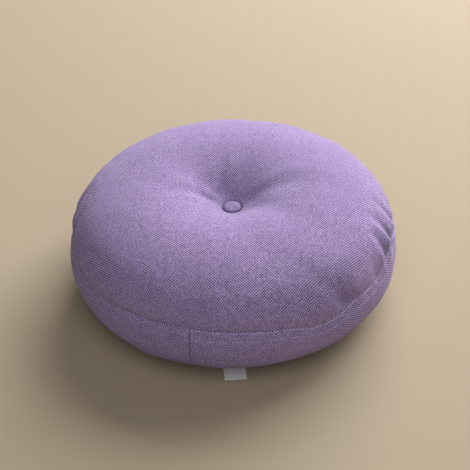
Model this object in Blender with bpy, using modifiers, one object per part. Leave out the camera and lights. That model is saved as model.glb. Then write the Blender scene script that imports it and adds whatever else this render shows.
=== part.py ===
"""Round floor cushion in linen-look cloth, drawn in at its centre by one covered button.

Metres, +Z up, standing on z = 0. The front is -Y. A bearing is an angle in degrees
round the cushion, 0 at the front and positive toward +X.
"""
import math

import bmesh
import bpy

# Filled cushion
RADIUS = 0.250
CROWN_HEIGHT = 0.1855
SEAM_RADIUS = 0.2435
SEAM_HEIGHT = 0.111
FOOT_SEAM_RADIUS = 0.193
FOOT_SEAM_HEIGHT = 0.005
FOOT_RADIUS = 0.175
SEAT_RADIUS = 0.0130
SEAT_HEIGHT = 0.1445
CUSHION_STEPS = 128

# The outside from the button's seat down to the floor, as (radius, height)
TOP_PANEL = (
    (SEAT_RADIUS, SEAT_HEIGHT),
    (0.0144, 0.1449),
    (0.0152, 0.1470),
    (0.0168, 0.1498),
    (0.022, 0.1538),
    (0.036, 0.1640),
    (0.066, 0.1785),
    (0.106, CROWN_HEIGHT),
    (0.148, 0.1845),
    (0.184, 0.1765),
    (0.2165, 0.1625),
    (0.2355, 0.1420),
    (0.2430, 0.1255),
    (SEAM_RADIUS, SEAM_HEIGHT),
)
BAND = (
    (SEAM_RADIUS, SEAM_HEIGHT),
    (0.2480, 0.0970),
    (RADIUS, 0.0770),
    (0.2470, 0.0560),
    (0.2360, 0.0380),
    (0.2160, 0.0190),
    (FOOT_SEAM_RADIUS, FOOT_SEAM_HEIGHT),
)
UNDERSIDE = (
    (FOOT_SEAM_RADIUS, FOOT_SEAM_HEIGHT),
    (0.1850, 0.0012),
    (FOOT_RADIUS, 0.0),
)

# Height of the seam along the rim against SEAM_HEIGHT, as (bearing, rise)
SEAM_SAG = (
    (-180.0, 0.002),
    (-90.0, 0.000),
    (-55.0, -0.009),
    (-34.0, 0.001),
    (-18.0, 0.004),
    (0.0, 0.002),
    (14.0, -0.002),
    (31.0, -0.017),
    (48.0, -0.006),
    (60.0, -0.006),
    (75.0, 0.011),
    (94.0, 0.002),
    (180.0, 0.002),
)
SAG_TOP = 0.165
SAG_FOOT = 0.045

# Valleys that run out from the button: (bearing at the button, bearing at the end,
# reach, width, depth)
TUFT_CREASES = (
    (112.0, 102.0, 0.150, 0.044, 0.0070),
    (-150.0, -152.0, 0.085, 0.036, 0.0040),
    (-127.0, -124.0, 0.120, 0.042, 0.0050),
    (-106.0, -88.0, 0.095, 0.026, 0.0045),
    (74.0, 52.0, 0.160, 0.050, 0.0055),
)
CREASE_START = 0.017
CREASE_FULL = 0.034
CREASE_NARROWS_TO = 0.45

# Gathers along the top seam: (bearing at the seam, bearing at the end, reach in from
# the seam, width, depth)
RIM_PUCKERS = (
    (44.5, 33.5, 0.085, 0.046, 0.0080),
    (60.0, 59.5, 0.035, 0.034, 0.0035),
    (68.5, 67.0, 0.045, 0.030, 0.0055),
    (76.0, 76.5, 0.055, 0.040, 0.0070),
    (90.0, 86.0, 0.050, 0.028, 0.0030),
    (-81.0, -80.0, 0.050, 0.032, 0.0020),
    (-96.5, -98.0, 0.050, 0.028, 0.0050),
    (-109.0, -110.0, 0.050, 0.040, 0.0025),
    (-137.0, -136.0, 0.050, 0.040, 0.0030),
    (154.0, 155.0, 0.050, 0.044, 0.0025),
)
DEPTH_AT_SEAM = 0.3
PUCKER_FULL = 0.012

# Small bulges between the gathers of the lower seam: (bearing, width, rise)
FOOT_BULGES = (
    (-73.0, 0.048, 0.0025),
    (-64.0, 0.044, 0.0025),
    (-35.0, 0.060, 0.0030),
    (39.0, 0.060, 0.0030),
    (118.0, 0.056, 0.0025),
    (-152.0, 0.060, 0.0025),
)
BULGE_HEIGHT = 0.026
BULGE_SPREAD = 0.020

# Covered button down its dome and round to its flat back, as (radius, height)
BUTTON_RADIUS = 0.014
BUTTON_DOME = (
    (0.0, 0.0075),
    (0.0060, 0.0073),
    (0.0112, 0.0062),
    (0.0134, 0.0045),
    (BUTTON_RADIUS, 0.0027),
)
BUTTON_BACK = (
    (0.0137, 0.0010),
    (0.0128, 0.0),
    (0.0, 0.0),
)
BUTTON_STEPS = 32

# Hairline left between pieces that are sewn together
SEWN_GAP = 0.0003

# Care label, a bare woven tape sewn into the lower seam
LABEL_WIDTH = 0.0325
LABEL_INNER_Y = -0.1885
LABEL_OUTER_Y = -0.2220
LABEL_X = -0.003
LABEL_TURN = math.radians(-2.5)
LABEL_THICKNESS = 0.001
LABEL_LANDS_Y = -0.2060
LABEL_CELLS = (6, 12)

COVER_CLOTH = ("cover_cloth", (0.325, 0.240, 0.440), 0.92)
BUTTON_CLOTH = ("button_cloth", (0.320, 0.235, 0.430), 0.90)
LABEL_CLOTH = ("label_cloth", (0.800, 0.800, 0.780), 0.80)


def clear_scene():
    for old in list(bpy.data.objects):
        bpy.data.objects.remove(old, do_unlink=True)


def material(name, colour, roughness):
    made = bpy.data.materials.new(name)
    made.use_nodes = True
    shader = made.node_tree.nodes["Principled BSDF"]
    shader.inputs["Base Color"].default_value = (*colour, 1.0)
    shader.inputs["Roughness"].default_value = roughness
    shader.inputs["Metallic"].default_value = 0.0
    return made


def ease(x):
    """Goes smoothly from 0 to 1 as x does."""
    x = min(max(x, 0.0), 1.0)
    return x * x * (3.0 - 2.0 * x)


def hump(offset, width):
    """Round hump or valley: 1 on its line, a quarter at half its width from it."""
    return 0.25 ** ((2.0 * offset / width) ** 2)


def turn_between(bearing, other):
    """Signed angle from one bearing to another, in radians."""
    return math.radians((bearing - other + 180.0) % 360.0 - 180.0)


def table_value(table, bearing):
    """Reads a (bearing, value) table, eased between its rows."""
    for (low, at_low), (high, at_high) in zip(table, table[1:]):
        if low <= bearing <= high:
            return at_low + (at_high - at_low) * ease((bearing - low) / (high - low))
    return table[-1][1]


def smooth_curve(points, parts):
    """Catmull-Rom curve through the points, with so many parts in each span."""
    first = [2 * a - b for a, b in zip(points[0], points[1])]
    last = [2 * a - b for a, b in zip(points[-1], points[-2])]
    padded = [first, *points, last]
    curve = []
    for before, start, end, after in zip(padded, padded[1:], padded[2:], padded[3:]):
        for part in range(parts):
            t = part / parts
            curve.append(tuple(
                0.5 * (2 * s + (e - b) * t + (2 * b - 5 * s + 4 * e - a) * t ** 2
                       + (3 * s - b - 3 * e + a) * t ** 3)
                for b, s, e, a in zip(before, start, end, after)))
    curve.append(tuple(points[-1]))
    return curve


def turned(name, profile, steps):
    """Closed solid turned from (radius, height) points that start and end on the axis."""
    outline = bpy.data.meshes.new(name + "_outline")
    edges = [(i, i + 1) for i in range(len(profile) - 1)]
    outline.from_pydata([(radius, 0.0, height) for radius, height in profile], edges, [])
    source = bpy.data.objects.new(name, outline)
    bpy.context.scene.collection.objects.link(source)
    screw = source.modifiers.new("Turn", "SCREW")
    screw.axis = "Z"
    screw.steps = steps
    screw.render_steps = steps
    screw.use_merge_vertices = True
    screw.merge_threshold = 0.00001
    evaluated = source.evaluated_get(bpy.context.evaluated_depsgraph_get())
    mesh = bpy.data.meshes.new_from_object(evaluated)
    mesh.name = name
    bpy.data.objects.remove(source, do_unlink=True)
    return bpy.data.objects.new(name, mesh)


def finish(piece, collection, paint):
    collection.objects.link(piece)
    piece.data.materials.clear()
    piece.data.materials.append(paint)
    for polygon in piece.data.polygons:
        polygon.use_smooth = True
    return piece


def sag_share(height, radius):
    """How far a point follows the seam up and down: 1 at the seam, 0 at crown and foot."""
    if radius < 0.5 * SEAM_RADIUS or height < SAG_FOOT:
        return 0.0
    if height >= SEAM_HEIGHT:
        return 1.0 - ease((height - SEAM_HEIGHT) / (SAG_TOP - SEAM_HEIGHT))
    return ease((height - SAG_FOOT) / (SEAM_HEIGHT - SAG_FOOT))


def crease_depth(radius, bearing):
    """Depth of the valleys that run out from the button."""
    depth = 0.0
    for near, far, reach, width, deepest in TUFT_CREASES:
        out = radius / reach
        if out >= 1.0:
            continue
        line = near + (far - near) * ease(out)
        turn = turn_between(bearing, line)
        if abs(turn) > 0.5 * math.pi:
            continue
        across = radius * math.sin(turn)
        wide = width * (CREASE_NARROWS_TO + (1.0 - CREASE_NARROWS_TO) * out)
        begun = ease((radius - CREASE_START) / (CREASE_FULL - CREASE_START))
        depth += deepest * begun * (1.0 - ease(out)) * hump(across, wide)
    return depth


def pucker_depth(radius, bearing, from_seam):
    """Depth of the gathers on the top panel beside its seam."""
    depth = 0.0
    for at_seam, at_end, reach, width, deepest in RIM_PUCKERS:
        along = min(from_seam / reach, 1.0)
        across = radius * turn_between(bearing, at_seam + (at_end - at_seam) * along)
        begun = DEPTH_AT_SEAM + (1.0 - DEPTH_AT_SEAM) * ease(from_seam / PUCKER_FULL)
        depth += deepest * begun * (1.0 - ease(along)) * hump(across, width)
    return depth


def bulge_rise(radius, height, bearing):
    """Rise of the small bulges over the lower seam."""
    share = ease(1.0 - abs(height - BULGE_HEIGHT) / BULGE_SPREAD)
    return share * sum(rise * hump(radius * turn_between(bearing, line), width)
                       for line, width, rise in FOOT_BULGES)


def cushion_profile():
    """(radius, height) from the tuft round to the middle of the underside."""
    top = smooth_curve(TOP_PANEL, 2)
    band = smooth_curve(BAND, 2)
    under = smooth_curve(UNDERSIDE, 1)
    return [(0.0, SEAT_HEIGHT), *top, *band[1:], *under[1:], (0.0, 0.0)]


def distance_from_seam(radius, height):
    """Straight distance in the profile from the top seam."""
    return math.hypot(radius - SEAM_RADIUS, height - SEAM_HEIGHT)


def make_cushion(collection):
    """Cover and filling as one solid: top panel, side band and base panel, with the
    folds that the tuft and the seams gather in the cloth."""
    piece = turned("cushion", cushion_profile(), CUSHION_STEPS)
    shape = bmesh.new()
    shape.from_mesh(piece.data)
    bmesh.ops.recalc_face_normals(shape, faces=shape.faces[:])
    shape.normal_update()
    moves = []
    for vert in shape.verts:
        radius = math.hypot(vert.co.x, vert.co.y)
        height = vert.co.z
        bearing = math.degrees(math.atan2(vert.co.x, -vert.co.y))
        inward = bulge = 0.0
        if radius > SEAT_RADIUS + SEWN_GAP and height > SEAM_HEIGHT - SEWN_GAP:
            inward = crease_depth(radius, bearing)
            inward += pucker_depth(radius, bearing, distance_from_seam(radius, height))
        elif height < SEAM_HEIGHT:
            bulge = bulge_rise(radius, height, bearing)
        move = vert.normal * (bulge - inward)
        move.z += sag_share(height, radius) * table_value(SEAM_SAG, bearing)
        moves.append(move)
    for vert, move in zip(shape.verts, moves):
        vert.co += move
    shape.to_mesh(piece.data)
    shape.free()
    return finish(piece, collection, material(*COVER_CLOTH))


def make_button(collection):
    """Cloth-covered button: low dome, rolled edge and flat back, on its seat."""
    piece = turned("button", smooth_curve(BUTTON_DOME, 2) + list(BUTTON_BACK), BUTTON_STEPS)
    piece.location = (0.0, 0.0, SEAT_HEIGHT + SEWN_GAP)
    return finish(piece, collection, material(*BUTTON_CLOTH))


def underside_height(radius):
    """Height of the turned underside and lower band at a radius."""
    outline = sorted(smooth_curve(BAND, 2)[-6:] + list(UNDERSIDE[1:]))
    for (near, low), (far, high) in zip(outline, outline[1:]):
        if near <= radius <= far:
            return low + (high - low) * (radius - near) / (far - near)
    return 0.0


def make_label(collection):
    """Bare label tape: held close under the lower seam, then lying on the floor."""
    half = 0.5 * LABEL_THICKNESS
    held = underside_height(-LABEL_INNER_Y) - SEWN_GAP - half
    tape = bmesh.new()
    bmesh.ops.create_grid(tape, x_segments=LABEL_CELLS[0], y_segments=LABEL_CELLS[1], size=0.5)
    for vert in tape.verts:
        along = 0.5 - vert.co.y
        y = LABEL_INNER_Y + (LABEL_OUTER_Y - LABEL_INNER_Y) * along
        landed = ease((LABEL_INNER_Y - y) / (LABEL_INNER_Y - LABEL_LANDS_Y))
        vert.co = (vert.co.x * LABEL_WIDTH, y - LABEL_INNER_Y, half + (held - half) * (1.0 - landed))
    mesh = bpy.data.meshes.new("label")
    tape.to_mesh(mesh)
    tape.free()
    piece = bpy.data.objects.new("label", mesh)
    piece.location = (LABEL_X, LABEL_INNER_Y, 0.0)
    piece.rotation_euler = (0.0, 0.0, LABEL_TURN)
    thick = piece.modifiers.new("Thickness", "SOLIDIFY")
    thick.thickness = LABEL_THICKNESS
    thick.offset = 0.0
    return finish(piece, collection, material(*LABEL_CLOTH))


def main():
    clear_scene()
    collection = bpy.data.collections.new("round_seat_cushion")
    bpy.context.scene.collection.children.link(collection)
    make_cushion(collection)
    make_button(collection)
    make_label(collection)


main()
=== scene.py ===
import math
import bmesh
import bpy
from mathutils import Matrix, Quaternion, Vector, noise
from mathutils.bvhtree import BVHTree


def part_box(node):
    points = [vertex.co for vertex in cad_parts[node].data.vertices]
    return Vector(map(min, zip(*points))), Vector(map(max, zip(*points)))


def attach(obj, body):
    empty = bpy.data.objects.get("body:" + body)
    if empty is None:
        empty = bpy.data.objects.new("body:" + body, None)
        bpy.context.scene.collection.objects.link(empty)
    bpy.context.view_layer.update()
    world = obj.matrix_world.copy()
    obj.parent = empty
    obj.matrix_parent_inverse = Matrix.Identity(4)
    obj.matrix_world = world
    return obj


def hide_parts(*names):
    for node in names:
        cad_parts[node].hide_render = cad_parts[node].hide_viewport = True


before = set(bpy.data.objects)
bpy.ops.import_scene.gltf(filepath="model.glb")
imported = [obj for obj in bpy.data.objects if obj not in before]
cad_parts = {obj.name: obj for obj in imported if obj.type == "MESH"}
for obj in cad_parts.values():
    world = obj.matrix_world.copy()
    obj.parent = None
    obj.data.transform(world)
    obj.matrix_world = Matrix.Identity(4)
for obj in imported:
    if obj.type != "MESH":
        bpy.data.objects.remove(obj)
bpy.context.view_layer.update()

# Filled cover: two rounds of heavy linen-look cloth and a side band, sewn together and packed
# with fibre. A twine through the middle draws the top down to a small seat, and the seams
# gather the cloth into folds. Bearings are degrees from the front, -Y, toward the right, +X.
RADIUS = 0.250
CROWN_HEIGHT = 0.1855
SEAM_RADIUS = 0.2435
SEAM_HEIGHT = 0.111
FOOT_SEAM_RADIUS = 0.193
FOOT_SEAM_HEIGHT = 0.005
FOOT_RADIUS = 0.175
SEAT_RADIUS = 0.0130
SEAT_HEIGHT = 0.1445

# Outlines from the tuft out to the foot seam, and of the base from its middle: radius, height
TOP_PANEL = (
    (0.0, SEAT_HEIGHT),
    (SEAT_RADIUS, SEAT_HEIGHT),
    (0.0144, 0.1449),
    (0.0152, 0.1470),
    (0.0168, 0.1498),
    (0.0220, 0.1538),
    (0.036, 0.1640),
    (0.066, 0.1785),
    (0.106, CROWN_HEIGHT),
    (0.148, 0.1845),
    (0.184, 0.1765),
    (0.2165, 0.1625),
    (0.2355, 0.1420),
    (0.2430, 0.1255),
    (SEAM_RADIUS, SEAM_HEIGHT),
)
BAND = (
    (SEAM_RADIUS, SEAM_HEIGHT),
    (0.2480, 0.0970),
    (RADIUS, 0.0770),
    (0.2470, 0.0560),
    (0.2360, 0.0380),
    (0.2160, 0.0190),
    (FOOT_SEAM_RADIUS, FOOT_SEAM_HEIGHT),
)
BASE_PANEL = (
    (0.0, 0.0),
    (0.165, 0.0),
    (FOOT_RADIUS, 0.0),
    (0.1850, 0.0012),
    (FOOT_SEAM_RADIUS, FOOT_SEAM_HEIGHT),
)

# Rise of the top seam along the rim: bearing, rise
SEAM_SAG = (
    (-180.0, 0.002),
    (-90.0, 0.000),
    (-55.0, -0.009),
    (-34.0, 0.001),
    (-18.0, 0.004),
    (0.0, 0.002),
    (14.0, -0.002),
    (31.0, -0.017),
    (48.0, -0.006),
    (60.0, -0.006),
    (75.0, 0.011),
    (94.0, 0.002),
    (180.0, 0.002),
)
SAG_TOP = 0.165
SAG_FOOT = 0.045

# Valleys from the button: bearing at the button, bearing at the end, reach, width, depth. A depth
# below zero is a ridge that stands beside one of them.
TUFT_CREASES = (
    (104.0, 97.0, 0.165, 0.062, 0.0040),
    (121.0, 110.0, 0.165, 0.040, -0.0026),
    (-133.0, -125.0, 0.175, 0.080, 0.0045),
    (-103.0, -87.0, 0.130, 0.034, 0.0050),
    (60.0, 43.0, 0.190, 0.070, 0.0042),
    (176.0, 180.0, 0.130, 0.050, -0.0026),
)
CREASE_START = 0.017
CREASE_FULL = 0.034
CREASE_NARROWS_TO = 0.45

# Gathers at the top seam, with ridges between them: the same columns, from the seam inward
RIM_PUCKERS = (
    (38.0, 28.0, 0.060, 0.018, -0.0018),
    (43.5, 33.0, 0.064, 0.036, 0.0072),
    (59.0, 58.0, 0.045, 0.026, 0.0035),
    (65.2, 63.0, 0.060, 0.012, -0.0020),
    (68.3, 66.5, 0.075, 0.015, 0.0052),
    (72.2, 71.0, 0.085, 0.013, -0.0030),
    (75.7, 75.5, 0.090, 0.019, 0.0075),
    (81.5, 81.0, 0.085, 0.016, -0.0028),
    (85.2, 86.0, 0.080, 0.013, 0.0048),
    (90.5, 89.0, 0.070, 0.014, -0.0015),
    (94.0, 93.0, 0.070, 0.014, 0.0030),
    (101.0, 99.0, 0.060, 0.018, 0.0022),
    (-83.0, -88.0, 0.060, 0.014, 0.0040),
    (-90.0, -97.0, 0.065, 0.016, -0.0014),
    (-94.0, -104.0, 0.070, 0.015, 0.0062),
    (-99.0, -110.0, 0.065, 0.016, -0.0014),
    (-108.0, -114.0, 0.070, 0.020, 0.0045),
    (-137.0, -136.0, 0.050, 0.040, 0.0030),
    (154.0, 155.0, 0.050, 0.044, 0.0025),
)
DEPTH_AT_SEAM = 0.35
PUCKER_FULL = 0.012
PUCKER_BELOW_SEAM = 0.030

# Where shade is painted into the cloth's colour: in folds as deep as this, and in the gap round the
# button
DEEP_FOLD = 0.009
TUFT_SHADE_FROM = 0.0170
TUFT_SHADE_FULL = 0.0150

# Bulges over the lower seam: bearing, width, rise
FOOT_BULGES = (
    (-73.0, 0.048, 0.0025),
    (-64.0, 0.044, 0.0025),
    (-35.0, 0.060, 0.0030),
    (39.0, 0.060, 0.0030),
    (118.0, 0.056, 0.0025),
    (-152.0, 0.060, 0.0025),
)
BULGE_HEIGHT = 0.026
BULGE_SPREAD = 0.020

# Lumps of the fibre filling under the cloth: size, rise. They grow from the button outward and
# fade out toward the floor.
FILLING_LUMPS = ((0.060, 0.0013), (0.024, 0.0005))
LUMPS_START = 0.015
LUMPS_GROW = 0.030
LUMPS_FADE_HEIGHT = 0.020

# Rows of the mesh round the tuft, on both sides of the top seam, and down the band past its
# stitch row and lower seam
PANEL_CELLS = 108
TUFT_ROWS = (0.0, 0.0045, 0.0085, 0.0115, 0.0130, 0.0144, 0.0164, 0.0190, 0.0215, 0.0245,
             0.0285, 0.0335, 0.0390)
RIM_ROWS = (0.0075, 0.0040, 0.0015, 0.0)
ZIP_ROW = 0.0155
LOWER_ROW = 0.049
LINE_HALF = 0.0015
BAND_ROWS = (
    LINE_HALF, 0.0050, 0.0095, ZIP_ROW - LINE_HALF, ZIP_ROW, ZIP_ROW + LINE_HALF,
    0.0225, 0.0285, 0.0345, 0.0410, LOWER_ROW - LINE_HALF, LOWER_ROW, LOWER_ROW + LINE_HALF,
)
FOOT_ROWS = 13
GRID_EDGE = 0.012
ON_AXIS = 0.001
ON_ROW = 0.0001
MERGE = 0.00001

# Bearings of the two upright joins in the band, with the zip section between them
JOINS = (-15.4, 112.0)


def ease(x):
    """Share from 0 to 1 that starts and ends softly."""
    x = min(max(x, 0.0), 1.0)
    return x * x * (3.0 - 2.0 * x)


def hump(offset, width):
    """Bell that is 1 in the middle and a quarter at each end of its width."""
    return 0.25 ** ((2.0 * offset / width) ** 2)


def turn_between(bearing, other):
    """Angle in radians from the other bearing to this one, the short way round."""
    return math.radians((bearing - other + 180.0) % 360.0 - 180.0)


def table_value(table, bearing):
    """Value at a bearing, eased between the rows of a table of bearing and value."""
    for (low, at_low), (high, at_high) in zip(table, table[1:]):
        if low <= bearing <= high:
            return at_low + (at_high - at_low) * ease((bearing - low) / (high - low))
    return table[-1][1]


def around(radius, height, bearing):
    """Point at a radius, a height and a bearing."""
    turn = math.radians(bearing)
    return Vector((radius * math.sin(turn), -radius * math.cos(turn), height))


def smooth_line(points, start=0.0, parts=16):
    """Catmull-Rom line through (radius, height) points, as (distance, radius, height)."""
    first = [2 * a - b for a, b in zip(points[0], points[1])]
    last = [2 * a - b for a, b in zip(points[-1], points[-2])]
    padded = [first, *points, last]
    line = [(start, *points[0])]
    for before, near, far, after in zip(padded, padded[1:], padded[2:], padded[3:]):
        for part in range(1, parts + 1):
            t = part / parts
            spot = [0.5 * (2 * s + (e - b) * t + (2 * b - 5 * s + 4 * e - a) * t ** 2
                           + (3 * s - b - 3 * e + a) * t ** 3)
                    for b, s, e, a in zip(before, near, far, after)]
            line.append((line[-1][0] + math.dist(spot, line[-1][1:]), *spot))
    return line


def on_line(line, distance):
    """Radius and height at a distance along a line."""
    for near, far in zip(line, line[1:]):
        if distance <= far[0]:
            share = max(distance - near[0], 0.0) / (far[0] - near[0])
            return [a + (b - a) * share for a, b in zip(near[1:], far[1:])]
    return line[-1][1:]


top_line = smooth_line(TOP_PANEL)
RIM = top_line[-1][0]
outline = top_line + smooth_line(BAND, start=RIM)[1:]
FOOT = outline[-1][0]
base_line = smooth_line(BASE_PANEL)
BASE_REACH = base_line[-1][0]

cover_shape = bmesh.new()
distance_of = cover_shape.verts.layers.float.new("distance")
bearing_of = cover_shape.verts.layers.float.new("bearing")
painted_fold_of = cover_shape.verts.layers.float.new("painted_fold_shade")
panel_of = cover_shape.faces.layers.int.new("panel")
TOP, SIDE, BASE = 0, 1, 2


def round_panel(rows):
    """Makes a square grid and notes where its corners go on a disc with rings at these rows."""
    grid = bmesh.ops.create_grid(cover_shape, x_segments=PANEL_CELLS, y_segments=PANEL_CELLS,
                                 size=1.0)["verts"]
    for vert in grid:
        x, y, _ = vert.co
        ring = round(max(abs(x), abs(y)) * (len(rows) - 1))
        turn = 0.0
        if abs(x) > abs(y):
            turn = 45.0 * y / x + (90.0 if x > 0.0 else 270.0)
        elif ring > 0:
            turn = (180.0 if y > 0.0 else 0.0) - 45.0 * x / y
        vert[distance_of] = rows[ring]
        vert[bearing_of] = (turn + 180.0) % 360.0 - 180.0
    return grid


def even_rows(start, end, steps):
    """Distances in even steps, after the start and up to the end."""
    return [start + (end - start) * step / steps for step in range(1, steps + 1)]


def add_row(rim, distance):
    """Extrudes the cover's open edge by one row."""
    made = bmesh.ops.extrude_edge_only(cover_shape, edges=rim)["geom"]
    for vert in (part for part in made if isinstance(part, bmesh.types.BMVert)):
        vert[distance_of] = distance
    return [part for part in made if isinstance(part, bmesh.types.BMEdge) and part.is_boundary]


rings = PANEL_CELLS // 2
outer_rings = rings + 1 - len(TUFT_ROWS)
round_panel([*TUFT_ROWS, *even_rows(TUFT_ROWS[-1], RIM - GRID_EDGE, outer_rings)])
rim = [edge for edge in cover_shape.edges if edge.is_boundary]
for before_seam in RIM_ROWS:
    rim = add_row(rim, RIM - before_seam)
for past_seam in BAND_ROWS:
    rim = add_row(rim, RIM + past_seam)
for distance in even_rows(RIM + BAND_ROWS[-1], FOOT, FOOT_ROWS):
    rim = add_row(rim, distance)
for vert in cover_shape.verts:
    vert.co = around(*on_line(outline, vert[distance_of]), vert[bearing_of])

# The base is a second disc, joined to the band along the foot seam.
base_verts = set(round_panel([0.0, *even_rows(0.0, BASE_REACH, rings)]))
for face in cover_shape.faces:
    middle = sum(vert[distance_of] for vert in face.verts) / len(face.verts)
    face[panel_of] = BASE if face.verts[0] in base_verts else SIDE if middle > RIM else TOP
for vert in base_verts:
    radius, height = on_line(base_line, vert[distance_of])
    vert.co = around(radius, max(height, 0.0), vert[bearing_of])
    vert[distance_of] = FOOT + BASE_REACH - vert[distance_of]
bmesh.ops.remove_doubles(cover_shape, verts=cover_shape.verts, dist=MERGE)

# Upright joins: three close columns each, cut through the band alone.
for join in JOINS:
    outward = around(1.0, 0.0, join)
    facing = around(1.0, 0.0, join + 90.0)
    for aside in (-LINE_HALF, 0.0, LINE_HALF):
        band = [face for face in cover_shape.faces if face[panel_of] == SIDE
                and face.calc_center_median().dot(outward) > 0.0]
        parts = set(band)
        for face in band:
            parts.update(face.edges, face.verts)
        bmesh.ops.bisect_plane(cover_shape, geom=list(parts), dist=MERGE,
                               plane_co=facing * aside, plane_no=facing)
for vert in cover_shape.verts:
    if vert.co.xy.length > ON_AXIS:
        vert[bearing_of] = math.degrees(math.atan2(vert.co.x, -vert.co.y))
bmesh.ops.recalc_face_normals(cover_shape, faces=cover_shape.faces)
cover_shape.normal_update()


def sag_share(radius, height):
    """Share of the top seam's rise that the cloth here follows."""
    if radius < 0.5 * SEAM_RADIUS or height < SAG_FOOT:
        return 0.0
    if height >= SEAM_HEIGHT:
        return 1.0 - ease((height - SEAM_HEIGHT) / (SAG_TOP - SEAM_HEIGHT))
    return ease((height - SAG_FOOT) / (SEAM_HEIGHT - SAG_FOOT))


def crease_depth(radius, bearing):
    """Depth of the valleys that run out from the button."""
    depth = 0.0
    for near, far, reach, width, deepest in TUFT_CREASES:
        out = radius / reach
        turn = turn_between(bearing, near + (far - near) * ease(out))
        if out >= 1.0 or abs(turn) > 0.5 * math.pi:
            continue
        wide = width * (CREASE_NARROWS_TO + (1.0 - CREASE_NARROWS_TO) * out)
        begun = ease((radius - CREASE_START) / (CREASE_FULL - CREASE_START))
        depth += deepest * begun * (1.0 - ease(out)) * hump(radius * math.sin(turn), wide)
    return depth


def pucker_depth(radius, bearing, from_seam):
    """Depth of the gathers, which a distance below zero follows down the band."""
    begun = DEPTH_AT_SEAM + (1.0 - DEPTH_AT_SEAM) * ease(from_seam / PUCKER_FULL)
    begun *= 1.0 - ease(-from_seam / PUCKER_BELOW_SEAM)
    depth = 0.0
    for at_seam, at_end, reach, width, deepest in RIM_PUCKERS:
        along = min(max(from_seam / reach, 0.0), 1.0)
        across = radius * turn_between(bearing, at_seam + (at_end - at_seam) * along)
        depth += deepest * begun * (1.0 - ease(along)) * hump(across, width)
    return depth


def bulge_rise(radius, height, bearing):
    """Rise of the bulges over the lower seam."""
    share = ease(1.0 - abs(height - BULGE_HEIGHT) / BULGE_SPREAD)
    return share * sum(rise * hump(radius * turn_between(bearing, line), width)
                       for line, width, rise in FOOT_BULGES)


def lump_rise(place):
    """Rise of the filling's lumps, before they fade."""
    return sum(rise * noise.noise(place / size) for size, rise in FILLING_LUMPS)


# Folds, bulges and lumps: each point moves along its normal, and with the seam's rise and sag.
moves = {}
for vert in cover_shape.verts:
    distance, bearing, height = vert[distance_of], vert[bearing_of], vert.co.z
    radius = vert.co.xy.length
    puckered = pucker_depth(radius, bearing, RIM - distance)
    rise = bulge_rise(radius, height, bearing) - puckered
    if distance <= RIM:
        rise -= crease_depth(radius, bearing)
    # Painted shade: the share by which the colour darkens in deep gathers and in the gap round the
    # button.
    painted_shade_amount = ease((TUFT_SHADE_FROM - distance) / (TUFT_SHADE_FROM - TUFT_SHADE_FULL))
    vert[painted_fold_of] = max(ease(puckered / DEEP_FOLD), painted_shade_amount)
    lumpy = ease((radius - LUMPS_START) / LUMPS_GROW) * ease(height / LUMPS_FADE_HEIGHT)
    rise += lumpy * lump_rise(vert.co)
    sag = sag_share(radius, height) * table_value(SEAM_SAG, bearing)
    moves[vert] = vert.normal * rise + Vector((0.0, 0.0, sag))
for vert, move in moves.items():
    vert.co += move


def new_piece(name, shape):
    """Makes an object of a finished shape."""
    mesh = bpy.data.meshes.new(name)
    shape.to_mesh(mesh)
    shape.free()
    piece = bpy.data.objects.new(name, mesh)
    bpy.context.collection.objects.link(piece)
    return piece


cover = new_piece("cushion_cover", cover_shape)
cover_mesh = cover.data

# The seams and the button hold the cloth while the filling pushes it out. Slack in the cloth
# beside the seams has nowhere to go, so it stands in small folds of its own. The places of the
# slack: bearing, width in degrees, share.
PIN_RADIUS = 0.020
SLACK = 0.10
SLACK_REACH = 0.045
SLACK_PLACES = ((78.0, 60.0, 1.0), (-108.0, 60.0, 0.8), (10.0, 70.0, 0.35), (170.0, 90.0, 0.5))
PRESSURE = 2.0
LARGEST_MOVE = 0.006
FRAMES = 20

held = cover.vertex_groups.new(name="held")
slack = cover.vertex_groups.new(name="slack")
for vert in cover_mesh.vertices:
    distance = cover_mesh.attributes["distance"].data[vert.index].value
    bearing = cover_mesh.attributes["bearing"].data[vert.index].value
    if abs(distance - RIM) < ON_ROW or distance < PIN_RADIUS or distance > FOOT - ON_ROW:
        held.add([vert.index], 1.0, "REPLACE")
    share = sum(most * hump(math.degrees(turn_between(bearing, middle)), width)
                for middle, width, most in SLACK_PLACES)
    share *= 1.0 - ease(abs(distance - RIM) / SLACK_REACH)
    if share > 0.0:
        slack.add([vert.index], min(share, 1.0), "REPLACE")
cloth = cover.modifiers.new("Cloth", "CLOTH")
cloth.settings.quality = 6
cloth.settings.mass = 0.3
cloth.settings.tension_stiffness = 25.0
cloth.settings.compression_stiffness = 25.0
cloth.settings.shear_stiffness = 10.0
cloth.settings.bending_stiffness = 0.3
cloth.settings.air_damping = 4.0
cloth.settings.use_pressure = True
cloth.settings.uniform_pressure_force = PRESSURE
cloth.settings.effector_weights.gravity = 0.0
cloth.settings.vertex_group_mass = "held"
cloth.settings.vertex_group_shrink = "slack"
cloth.settings.shrink_min = 0.0
cloth.settings.shrink_max = -SLACK
cloth.collision_settings.use_collision = False
cloth.point_cache.frame_start = 1
cloth.point_cache.frame_end = FRAMES
for tick in range(1, FRAMES + 1):
    bpy.context.scene.frame_set(tick)
settled = cover.evaluated_get(bpy.context.evaluated_depsgraph_get()).data
places = [vert.co.copy() for vert in settled.vertices]
cover.modifiers.remove(cloth)
for vert, place in zip(cover_mesh.vertices, places):
    move = place - vert.co
    if move.length > LARGEST_MOVE:
        move.length = LARGEST_MOVE
    vert.co += move
bpy.context.scene.frame_set(1)
cover.vertex_groups.clear()

# Seams: the top seam and the upright joins pull the cloth in along a fine line. The zip section
# of the band has a fold over the zip under the top seam, sewn down along a stitch row, and
# a seam of its own lower down. Small gathers stand beside the top and the foot seam.

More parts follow.
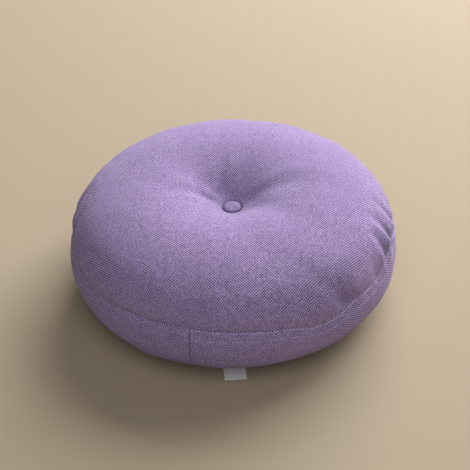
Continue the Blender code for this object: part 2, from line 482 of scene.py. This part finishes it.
# How hard the seams pull round the rim: bearing, share
SEAM_PULL = (
    (-180.0, 0.9),
    (-95.0, 0.7),
    (-60.0, 0.4),
    (-35.0, 0.8),
    (-15.0, 1.2),
    (12.0, 1.3),
    (32.0, 0.5),
    (75.0, 0.4),
    (115.0, 0.9),
    (180.0, 0.9),
)
SEAM_DEPTH = 0.0018
ROW_DEPTH = 0.0007
LOWER_DEPTH = 0.0010
JOIN_DEPTH = 0.0027
FOLD_RISE = 0.0005
GATHER_RISE = 0.0008
TENSION_CHANGE = 0.6
TENSION_LENGTH = 0.045
GATHER_LENGTH = 0.011
GATHER_RUN = 0.020
GATHER_REACH = 0.016
LOWER_SEEN = 40.0
ON_JOIN = 0.0003


def join_offset(radius, bearing):
    """Distance along the band to the nearer join."""
    return min(abs(radius * turn_between(bearing, join)) for join in JOINS)


cover_shape = bmesh.new()
cover_shape.from_mesh(cover_mesh)
distance_of = cover_shape.verts.layers.float["distance"]
bearing_of = cover_shape.verts.layers.float["bearing"]
painted_fold_of = cover_shape.verts.layers.float["painted_fold_shade"]
panel_of = cover_shape.faces.layers.int["panel"]
painted_shade_of = cover_shape.verts.layers.float.new("painted_shade_mask")
cover_shape.normal_update()
moves = {}
for vert in cover_shape.verts:
    past_seam, bearing = vert[distance_of] - RIM, vert[bearing_of]
    on_band = ON_ROW < past_seam < FOOT - RIM - ON_ROW
    zipped = JOINS[0] < bearing < JOINS[1]
    tension = TENSION_CHANGE * noise.noise(around(RADIUS / TENSION_LENGTH, past_seam, bearing))
    tension += table_value(SEAM_PULL, bearing)
    depth = 0.0
    if abs(past_seam) < ON_ROW:
        depth = SEAM_DEPTH * tension
    elif on_band and join_offset(vert.co.xy.length, bearing) < ON_JOIN:
        depth = JOIN_DEPTH
    elif zipped and abs(past_seam - ZIP_ROW) < ON_ROW:
        depth = ROW_DEPTH * tension
    elif zipped and abs(past_seam - LOWER_ROW) < ON_ROW:
        depth = LOWER_DEPTH * tension * ease((LOWER_SEEN - bearing) / LOWER_SEEN)
    # Painted shade: the seam, the joins and the zip rows darken the colour by their depth, and the
    # deep folds and the button gap keep their share.
    vert[painted_shade_of] = min(max(depth / JOIN_DEPTH, vert[painted_fold_of]), 1.0)
    rise = -depth
    if zipped and 0.0 < past_seam < ZIP_ROW:
        rise += FOLD_RISE * tension * math.sin(math.pi * past_seam / ZIP_ROW)
    near_seam = min(abs(past_seam), abs(FOOT - RIM - past_seam))
    gather = noise.noise(around(RADIUS / GATHER_LENGTH, near_seam / GATHER_RUN, bearing))
    rise += GATHER_RISE * gather * ease(1.0 - near_seam / GATHER_REACH)
    moves[vert] = vert.normal * rise
for vert, move in moves.items():
    vert.co += move
    vert.co.z = max(vert.co.z, 0.0)

# The weave runs straight across each round panel and along the band, in metres.
weave_map = cover_shape.loops.layers.uv.new("weave")
for face in cover_shape.faces:
    face.smooth = True
    start = face.verts[0][bearing_of]
    for loop in face.loops:
        distance, bearing = loop.vert[distance_of], loop.vert[bearing_of]
        if face[panel_of] == TOP:
            loop[weave_map].uv = around(distance, 0.0, bearing).xy
        elif face[panel_of] == BASE:
            loop[weave_map].uv = loop.vert.co.xy
        else:
            turn = math.radians(start) + turn_between(bearing, start)
            loop[weave_map].uv = (RADIUS * turn, RIM - distance)
cover_shape.to_mesh(cover_mesh)
cover_shape.free()
rounding = cover.modifiers.new("Rounding", "SUBSURF")
rounding.levels = 1
rounding.render_levels = 1


def put(tree, kind, inputs=None, **settings):
    """Adds a node, with its inputs filled by values or by other nodes' outputs."""
    node = tree.nodes.new(kind)
    for name, value in settings.items():
        setattr(node, name, value)
    for name, value in (inputs or {}).items():
        if isinstance(value, bpy.types.NodeSocket):
            tree.links.new(value, node.inputs[name])
        else:
            node.inputs[name].default_value = value
    return node


def calc(tree, operation, *values):
    """Result of a sum on values or on other nodes' outputs."""
    return put(tree, "ShaderNodeMath", dict(enumerate(values)), operation=operation).outputs[0]


def mixed(tree, share, first, second, way="MIX"):
    """Colour between two, by a share from 0 to 1."""
    node = put(tree, "ShaderNodeMix", {0: share, 6: first, 7: second}, data_type="RGBA",
               blend_type=way)
    return node.outputs[2]


# Linen-look plain weave: each yarn goes over one and under the next, wavers a little, and
# changes its tone along its length, with thicker pale slubs here and there. Shade is painted
# into the gaps between the yarns. Lengths are in metres, and a step is how far apart two
# neighbouring yarns lie in the noise that tones them.
WANDER_SCALE = 110.0
YARN_DIP = 0.4
TONE_BASE = 0.275
TONE_DRIFT = 0.30
TONE_OWN = 0.15
TONE_LENGTH = 0.020
TONE_STEP = 1.73
WARP_SEED = 3.0
WEFT_SEED = 11.0
SLUB_LENGTH = 0.011
SLUB_STEP = 2.37
SLUB_SEED = 29.0
SLUB_FROM = 0.66
SLUB_FULL = 0.76
SLUB_LIGHT = 0.25
SLUB_RAISE = 0.5
weave = bpy.data.node_groups.new("linen_weave", "ShaderNodeTree")
for name, kind in (("Place", "NodeSocketVector"), ("Pitch", "NodeSocketFloat"),
                   ("Waver", "NodeSocketFloat"), ("Dark Yarn", "NodeSocketColor"),
                   ("Light Yarn", "NodeSocketColor"), ("Fleck", "NodeSocketFloat"),
                   ("Slub", "NodeSocketFloat"), ("Painted Gap Shade", "NodeSocketFloat"),
                   ("Warp Lift", "NodeSocketFloat")):
    weave.interface.new_socket(name, in_out="INPUT", socket_type=kind)
for name, kind in (("Color", "NodeSocketColor"), ("Height", "NodeSocketFloat")):
    weave.interface.new_socket(name, in_out="OUTPUT", socket_type=kind)
given = put(weave, "NodeGroupInput").outputs
wander = put(weave, "ShaderNodeTexNoise", {"Vector": given["Place"], "Scale": WANDER_SCALE,
                                           "Detail": 1.0})
centred = put(weave, "ShaderNodeVectorMath", {0: wander.outputs["Color"], 1: (0.5, 0.5, 0.5)},
              operation="SUBTRACT").outputs[0]
sway = put(weave, "ShaderNodeVectorMath", {0: centred, "Scale": given["Waver"]},
           operation="SCALE").outputs[0]
swayed = put(weave, "ShaderNodeVectorMath", {0: given["Place"], 1: sway}, operation="ADD").outputs[0]
parts = put(weave, "ShaderNodeSeparateXYZ", {0: swayed}).outputs
across = calc(weave, "DIVIDE", parts["X"], given["Pitch"])
along = calc(weave, "DIVIDE", parts["Y"], given["Pitch"])
column = calc(weave, "FLOOR", across)
row = calc(weave, "FLOOR", along)
warp_ridge = calc(weave, "SINE", calc(weave, "MULTIPLY", calc(weave, "FRACT", across), math.pi))
weft_ridge = calc(weave, "SINE", calc(weave, "MULTIPLY", calc(weave, "FRACT", along), math.pi))
warp_over = calc(weave, "FLOORED_MODULO", calc(weave, "ADD", column, row), 2.0)
warp_bend = calc(weave, "MULTIPLY_ADD", weft_ridge, YARN_DIP, 1.0 - YARN_DIP)
weft_bend = calc(weave, "MULTIPLY_ADD", warp_ridge, YARN_DIP, 1.0 - YARN_DIP)
warp = calc(weave, "MULTIPLY", warp_ridge, warp_bend)
weft = calc(weave, "MULTIPLY", weft_ridge, weft_bend)
ridge = put(weave, "ShaderNodeMix", {0: warp_over, 2: weft, 3: warp}).outputs[0]


def yarn_tone(number, length, seed):
    """Tone of the yarn with this number, changing slowly along its length."""
    slow = put(weave, "ShaderNodeCombineXYZ", {0: calc(weave, "MULTIPLY", number, TONE_STEP),
                                               1: calc(weave, "DIVIDE", length, TONE_LENGTH),
                                               2: seed})
    drift = put(weave, "ShaderNodeTexNoise", {"Vector": slow.outputs[0], "Scale": 1.0,
                                              "Detail": 1.0}).outputs[0]
    own = put(weave, "ShaderNodeTexWhiteNoise", {"W": calc(weave, "ADD", number, seed)},
              noise_dimensions="1D").outputs["Value"]
    return calc(weave, "ADD", calc(weave, "MULTIPLY_ADD", drift, TONE_DRIFT, TONE_BASE),
                calc(weave, "MULTIPLY", own, TONE_OWN))


warp_tone = yarn_tone(column, parts["Y"], WARP_SEED)
weft_tone = yarn_tone(row, parts["X"], WEFT_SEED)
tone = put(weave, "ShaderNodeMix", {0: warp_over, 2: weft_tone, 3: warp_tone}).outputs[0]
crossing = put(weave, "ShaderNodeCombineXYZ", {0: column, 1: row}).outputs[0]
speck = put(weave, "ShaderNodeTexWhiteNoise", {"Vector": crossing}, noise_dimensions="2D")
speck_tone = calc(weave, "MULTIPLY", calc(weave, "SUBTRACT", speck.outputs["Value"], 0.5),
                  given["Fleck"])
slub_place = put(weave, "ShaderNodeCombineXYZ", {0: calc(weave, "DIVIDE", parts["X"], SLUB_LENGTH),
                                                 1: calc(weave, "MULTIPLY", row, SLUB_STEP),
                                                 2: SLUB_SEED})
slub_noise = put(weave, "ShaderNodeTexNoise", {"Vector": slub_place.outputs[0], "Scale": 1.0,
                                               "Detail": 0.0}).outputs[0]
thick = put(weave, "ShaderNodeMapRange", {"Value": slub_noise, "From Min": SLUB_FROM,
                                          "From Max": SLUB_FULL}).outputs[0]
slub = calc(weave, "MULTIPLY", thick, given["Slub"])
lift = calc(weave, "MULTIPLY", calc(weave, "SUBTRACT", warp_over, 0.5), given["Warp Lift"])
full_tone = calc(weave, "ADD", calc(weave, "ADD", calc(weave, "ADD", tone, lift), speck_tone),
                 calc(weave, "MULTIPLY", slub, SLUB_LIGHT))
limited = put(weave, "ShaderNodeMapRange", {"Value": full_tone, "From Min": 0.0, "From Max": 1.0})
yarn = mixed(weave, limited.outputs[0], given["Dark Yarn"], given["Light Yarn"])
# Painted shade: the colour darkens in the gaps between the yarns, by the Sink share.
painted_gap_shade = calc(weave, "MULTIPLY", calc(weave, "SUBTRACT", 1.0, ridge), given["Painted Gap Shade"])
shaded = mixed(weave, 1.0, yarn, calc(weave, "SUBTRACT", 1.0, painted_gap_shade), "MULTIPLY")
raised = calc(weave, "MULTIPLY_ADD", slub, SLUB_RAISE, ridge)
put(weave, "NodeGroupOutput", {"Color": shaded, "Height": raised})


def new_finish(name, values):
    """Makes a material, with these values on its shader's sockets."""
    finish = bpy.data.materials.new(name)
    finish.use_nodes = True
    surface = finish.node_tree.nodes["Principled BSDF"]
    for socket, value in values.items():
        surface.inputs[socket].default_value = value
    return finish, finish.node_tree, surface


def lay_weave(tree, surface, yarns, strength, depth):
    """Lays the weave on the piece's own map, raises it, and gives back its colour."""
    place = put(tree, "ShaderNodeUVMap", uv_map="weave").outputs[0]
    woven = put(tree, "ShaderNodeGroup", {"Place": place, **yarns}, node_tree=weave).outputs
    bump = put(tree, "ShaderNodeBump", {"Strength": strength, "Distance": depth,
                                        "Height": woven["Height"]})
    tree.links.new(bump.outputs[0], surface.inputs["Normal"])
    return woven["Color"]


# Cover cloth: thick heathered purple yarn, matt, with shade painted into its colour where it sinks
# into a seam, a deep fold or the gap round the button. It fades a little from place to place.
LINEN_SHEEN = {
    "Specular IOR Level": 0.25,
    "Sheen Weight": 0.25,
    "Sheen Roughness": 0.45,
    "Sheen Tint": (0.78, 0.68, 0.95, 1.0),
}
LINEN_YARNS = {
    "Pitch": 0.0021,
    "Dark Yarn": (0.088, 0.046, 0.172, 1.0),
    "Light Yarn": (0.690, 0.533, 0.925, 1.0),
    "Painted Gap Shade": 0.4,
}
LINEN_BUMP = 0.7
LINEN_BUMP_DEPTH = 0.0004
PAINTED_SHADE_COLOR = (0.10, 0.06, 0.15, 1.0)
PAINTED_SHADE_SHARE = 0.45
cover_yarns = {**LINEN_YARNS, "Waver": 0.0022, "Fleck": 0.45, "Slub": 0.6, "Warp Lift": 0.95}
cover_cloth, tree, surface = new_finish("heathered_linen", {"Roughness": 0.92, **LINEN_SHEEN})
cover_weave = lay_weave(tree, surface, cover_yarns, LINEN_BUMP, LINEN_BUMP_DEPTH)
body_place = put(tree, "ShaderNodeTexCoord").outputs["Object"]
fading = put(tree, "ShaderNodeTexNoise", {"Vector": body_place, "Scale": 9.0, "Detail": 3.0})
faded = put(tree, "ShaderNodeMapRange", {"Value": fading.outputs[0], "From Min": 0.3,
                                         "From Max": 0.7, "To Min": 0.95, "To Max": 1.05})
tinted = mixed(tree, 1.0, cover_weave, faded.outputs[0], "MULTIPLY")
# Painted shade: the colour is mixed toward a dark purple by the shade mask of the seams, folds and
# button gap.
painted_shade_amount = put(tree, "ShaderNodeAttribute", attribute_name="painted_shade_mask").outputs["Fac"]
with_painted_shade = mixed(tree, calc(tree, "MULTIPLY", painted_shade_amount, PAINTED_SHADE_SHARE), tinted, PAINTED_SHADE_COLOR)
tree.links.new(with_painted_shade, surface.inputs["Base Color"])
cover_mesh.materials.append(cover_cloth)
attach(cover, "root")
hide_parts("cushion")


# Covered button: a domed form with the cover's cloth stretched over it and tucked in behind,
# held down by twine that goes through the filling.
BUTTON_RADIUS = 0.014
BUTTON_DOME = (
    (0.0, 0.0075),
    (0.0060, 0.0073),
    (0.0112, 0.0062),
    (0.0134, 0.0045),
    (BUTTON_RADIUS, 0.0027),
    (0.0137, 0.0010),
    (0.0128, 0.0),
)
BUTTON_STEPS = 96
CLOTH_DROP = 0.030
TUCKS = 22
TUCK_DEPTH = 0.00022
TUCK_START = 0.0105
# Painted shade on the button: its colour darkens toward its lower edge, between these heights over
# its bottom.
UNDER_EDGE_LOW = 0.0028
UNDER_EDGE_HIGH = 0.0050
UNDER_EDGE_SHARE = 0.75
UNDER_EDGE_PAINTED_SHADE = (0.07, 0.04, 0.11, 1.0)
button_low, button_high = (Vector(corner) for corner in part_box("button"))
button_shape = bmesh.new()
for distance, radius, height in smooth_line(BUTTON_DOME, parts=4):
    button_shape.verts.new((radius, 0.0, button_low.z + height))
button_shape.verts.new((0.0, 0.0, button_low.z))
button_shape.verts.ensure_lookup_table()
profile = list(button_shape.verts)
for near, far in zip(profile, profile[1:]):
    button_shape.edges.new((near, far))
bmesh.ops.spin(button_shape, geom=button_shape.verts[:] + button_shape.edges[:], cent=(0, 0, 0),
               axis=(0, 0, 1), angle=2.0 * math.pi, steps=BUTTON_STEPS, use_merge=True)
bmesh.ops.remove_doubles(button_shape, verts=button_shape.verts, dist=MERGE)
bmesh.ops.recalc_face_normals(button_shape, faces=button_shape.faces)
button_shape.normal_update()
weave_map = button_shape.loops.layers.uv.new("weave")
for face in button_shape.faces:
    face.smooth = True
    for loop in face.loops:
        out = loop.vert.co.xy
        wrapped = 1.0 + max(button_high.z - loop.vert.co.z, 0.0) / CLOTH_DROP
        loop[weave_map].uv = (out.x * wrapped, out.y * wrapped)
for vert in button_shape.verts:
    out = vert.co.xy.length
    tucked = ease((out - TUCK_START) / (BUTTON_RADIUS - TUCK_START)) * TUCK_DEPTH
    turn = math.atan2(vert.co.y, vert.co.x)
    vert.co -= vert.normal * tucked * (0.5 + 0.5 * math.cos(TUCKS * turn + 2.0 * math.sin(3 * turn)))
button = new_piece("covered_button", button_shape)

button_yarns = {**LINEN_YARNS, "Waver": 0.0015, "Fleck": 0.35, "Slub": 0.2, "Warp Lift": 0.6}
button_cloth, tree, surface = new_finish("button_linen", {"Roughness": 0.90, **LINEN_SHEEN})
button_weave = lay_weave(tree, surface, button_yarns, LINEN_BUMP, LINEN_BUMP_DEPTH)
# Painted shade: the colour darkens toward the button's lower edge, where it sits down in the cloth.
body_place = put(tree, "ShaderNodeTexCoord").outputs["Object"]
body_height = put(tree, "ShaderNodeSeparateXYZ", {0: body_place}).outputs["Z"]
under_edge_shade_share = put(tree, "ShaderNodeMapRange", {"Value": body_height,
                                              "From Min": button_low.z + UNDER_EDGE_LOW,
                                              "From Max": button_low.z + UNDER_EDGE_HIGH,
                                              "To Min": UNDER_EDGE_SHARE, "To Max": 0.0})
under_edge_shaded = mixed(tree, under_edge_shade_share.outputs[0], button_weave, UNDER_EDGE_PAINTED_SHADE)
tree.links.new(under_edge_shaded, surface.inputs["Base Color"])
button.data.materials.append(button_cloth)
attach(button, "root")
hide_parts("button")


# Zip stitching: two rows of thick pale thread, a stitch every 5 mm. One holds the fold over the
# zip, and one runs close under the top seam. Both stop just short of the upright joins.
STITCH_LENGTH = 0.0032
STITCH_STEP = 0.0048
STITCH_THICKNESS = 0.0010
UPPER_STITCHES = 0.0022
SHORT_OF_JOIN = 0.6
cover_tree = BVHTree.FromObject(cover, bpy.context.evaluated_depsgraph_get())
stitch_shape = bmesh.new()


def sew_row(past_seam):
    """Lays stitches along the zip section at a distance below the top seam."""
    start = JOINS[0] + SHORT_OF_JOIN
    end = JOINS[1] - SHORT_OF_JOIN
    radius, height = on_line(outline, RIM + past_seam)
    turns = int(math.radians(end - start) * radius / STITCH_STEP)
    for stitch in range(turns):
        bearing = start + (end - start) * (stitch + 0.5) / turns
        sag = sag_share(radius, height) * table_value(SEAM_SAG, bearing)
        place, normal, _, _ = cover_tree.find_nearest(around(radius, height + sag, bearing))
        along = around(1.0, 0.0, bearing + 90.0)
        along = (along - normal * along.dot(normal)).normalized()
        side = normal.cross(along)
        turned = Matrix((along, side, normal)).transposed().to_4x4()
        size = Matrix.Diagonal((0.5 * STITCH_LENGTH, 0.5 * STITCH_THICKNESS,
                                0.5 * STITCH_THICKNESS, 1.0))
        bmesh.ops.create_uvsphere(stitch_shape, u_segments=6, v_segments=4, radius=1.0,
                                  matrix=Matrix.Translation(place) @ turned @ size)


sew_row(ZIP_ROW)
sew_row(UPPER_STITCHES)
for face in stitch_shape.faces:
    face.smooth = True
stitching = new_piece("zip_stitching", stitch_shape)

DARK_THREAD = (0.62, 0.52, 0.76, 1.0)
LIGHT_THREAD = (0.88, 0.80, 0.95, 1.0)
thread, tree, surface = new_finish("lilac_thread", {"Roughness": 0.70, "Sheen Weight": 0.15})
thread_place = put(tree, "ShaderNodeTexCoord").outputs["Object"]
twist = put(tree, "ShaderNodeTexNoise", {"Vector": thread_place, "Scale": 900.0, "Detail": 1.0})
twisted = mixed(tree, twist.outputs[0], DARK_THREAD, LIGHT_THREAD)
tree.links.new(twisted, surface.inputs["Base Color"])
stitching.data.materials.append(thread)
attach(stitching, "root")


# Care label: a short piece of white woven satin tape, left bare. Its inner end is sewn into the
# lower seam at the front, and it slopes from there to the floor with its corners a little up.
LABEL_WIDTH = 0.0325
LABEL_INNER = -0.1885
LABEL_OUTER = -0.2220
LABEL_SIDE = -0.0040
LABEL_TURN = math.radians(3.5)
LABEL_THICKNESS = 0.0005
LABEL_CURL = 0.0009
LABEL_RIPPLE = 0.0003
LABEL_EDGE = 0.00012
LABEL_OFF_FLOOR = 0.0001
label_length = LABEL_INNER - LABEL_OUTER
label_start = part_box("label")[1][2] - 0.5 * LABEL_THICKNESS
label_shape = bmesh.new()
bmesh.ops.create_grid(label_shape, x_segments=16, y_segments=18, size=0.5)
weave_map = label_shape.loops.layers.uv.new("weave")
for face in label_shape.faces:
    face.smooth = True
    for loop in face.loops:
        loop[weave_map].uv = (loop.vert.co.x * LABEL_WIDTH, loop.vert.co.y * label_length)
for vert in label_shape.verts:
    sideways, out = vert.co.x, 0.5 - vert.co.y
    curl = LABEL_CURL * ease(2.0 * out - 1.0) * (0.3 + 0.7 * (2.0 * abs(sideways)) ** 2)
    ripple = LABEL_RIPPLE * (1.0 + math.sin(9.0 * sideways + 1.0)) * out
    height = 0.5 * LABEL_THICKNESS + LABEL_OFF_FLOOR
    height += (label_start - height) * (1.0 - out) + curl + ripple
    vert.co = (sideways * LABEL_WIDTH, -out * label_length, height)
turned = Matrix.Translation((LABEL_SIDE, LABEL_INNER, 0.0)) @ Matrix.Rotation(LABEL_TURN, 4, "Z")
bmesh.ops.transform(label_shape, matrix=turned, verts=label_shape.verts)
bmesh.ops.recalc_face_normals(label_shape, faces=label_shape.faces)
label = new_piece("care_label", label_shape)
body = label.modifiers.new("Thickness", "SOLIDIFY")
body.thickness = LABEL_THICKNESS
body.offset = 0.0
edge = label.modifiers.new("Edge", "BEVEL")
edge.width = LABEL_EDGE
edge.segments = 2

SATIN_YARNS = {
    "Pitch": 0.00045,
    "Waver": 0.0001,
    "Dark Yarn": (0.92, 0.92, 0.91, 1.0),
    "Light Yarn": (0.99, 0.99, 0.98, 1.0),
    "Fleck": 0.3,
    "Slub": 0.0,
    "Painted Gap Shade": 0.08,
    "Warp Lift": 0.3,
}
SATIN_BUMP = 0.5
SATIN_BUMP_DEPTH = 0.0001
satin, tree, surface = new_finish("white_satin_tape", {"Roughness": 0.55, "Sheen Weight": 0.1})
satin_weave = lay_weave(tree, surface, SATIN_YARNS, SATIN_BUMP, SATIN_BUMP_DEPTH)
tree.links.new(satin_weave, surface.inputs["Base Color"])
label.data.materials.append(satin)
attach(label, "root")
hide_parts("label")


# Floor: a plain pale sheet in a warm tone, matt, and larger than any view of the cushion. The
# cushion rests on it.
FLOOR_HALF = 6.0
FLOOR_COLOR = (0.432, 0.355, 0.250, 1.0)
floor_shape = bmesh.new()
bmesh.ops.create_grid(floor_shape, x_segments=1, y_segments=1, size=FLOOR_HALF)
floor = new_piece("plain_floor", floor_shape)
floor_paint, _, _ = new_finish("pale_floor", {"Base Color": FLOOR_COLOR, "Roughness": 0.9})
floor.data.materials.append(floor_paint)

# Light: a large soft window light from behind and to the right, a weak soft box above the front,
# and a very weak fill all round. Columns: name, bearing, height in degrees, distance, size, watts.
LIGHTS = (
    ("window", 148.0, 32.0, 3.7, 3.4, 296.0),
    ("front_box", 0.0, 50.0, 3.0, 2.5, 32.0),
)
LIGHT_COLOR = (1.0, 0.985, 0.98)
FILL_COLOR = (0.95, 0.96, 1.0, 1.0)
FILL_STRENGTH = 0.09
for name, bearing, raised_by, away, size, power in LIGHTS:
    soft_light = bpy.data.lights.new(name, "AREA")
    soft_light.shape = "SQUARE"
    soft_light.size = size
    soft_light.energy = power
    soft_light.color = LIGHT_COLOR
    lamp = bpy.data.objects.new(name, soft_light)
    bpy.context.collection.objects.link(lamp)
    lift_angle = math.radians(raised_by)
    lit_from = around(away * math.cos(lift_angle), away * math.sin(lift_angle), bearing)
    facing = (-lit_from).to_track_quat("-Z", "Y")
    lamp.matrix_world = Matrix.Translation(lit_from) @ facing.to_matrix().to_4x4()
world = bpy.data.worlds.new("soft_fill")
world.use_nodes = True
world.node_tree.nodes["Background"].inputs["Color"].default_value = FILL_COLOR
world.node_tree.nodes["Background"].inputs["Strength"].default_value = FILL_STRENGTH
bpy.context.scene.world = world
bpy.context.scene.view_settings.view_transform = "Standard"

# Camera: the photograph's, 2.28 m from the middle of the cushion, looking down at 38.5 degrees
# from straight in front, and rolled a little.
TILT = math.radians(38.5)
ROLL = math.radians(-1.59)
AWAY = 2.281
AIM_RIGHT = 0.0031
AIM_UP = 0.0032
MIDDLE_HEIGHT = 0.09
LENS = 113.63
SENSOR = 36.0
forward = Vector((0.0, math.cos(TILT), -math.sin(TILT)))
upward = Vector((0.0, math.sin(TILT), math.cos(TILT)))
middle = Vector((0.0, 0.0, MIDDLE_HEIGHT))
eye = middle - forward * AWAY
aim = middle + Vector((AIM_RIGHT, 0.0, 0.0)) + upward * AIM_UP
camera_data = bpy.data.cameras.new("camera")
camera_data.lens = LENS
camera_data.sensor_width = SENSOR
camera = bpy.data.objects.new("camera", camera_data)
bpy.context.collection.objects.link(camera)
looking = (aim - eye).to_track_quat("-Z", "Y") @ Quaternion((0.0, 0.0, 1.0), ROLL)
camera.matrix_world = Matrix.Translation(eye) @ looking.to_matrix().to_4x4()
bpy.context.scene.camera = camera

bpy.context.view_layer.update()
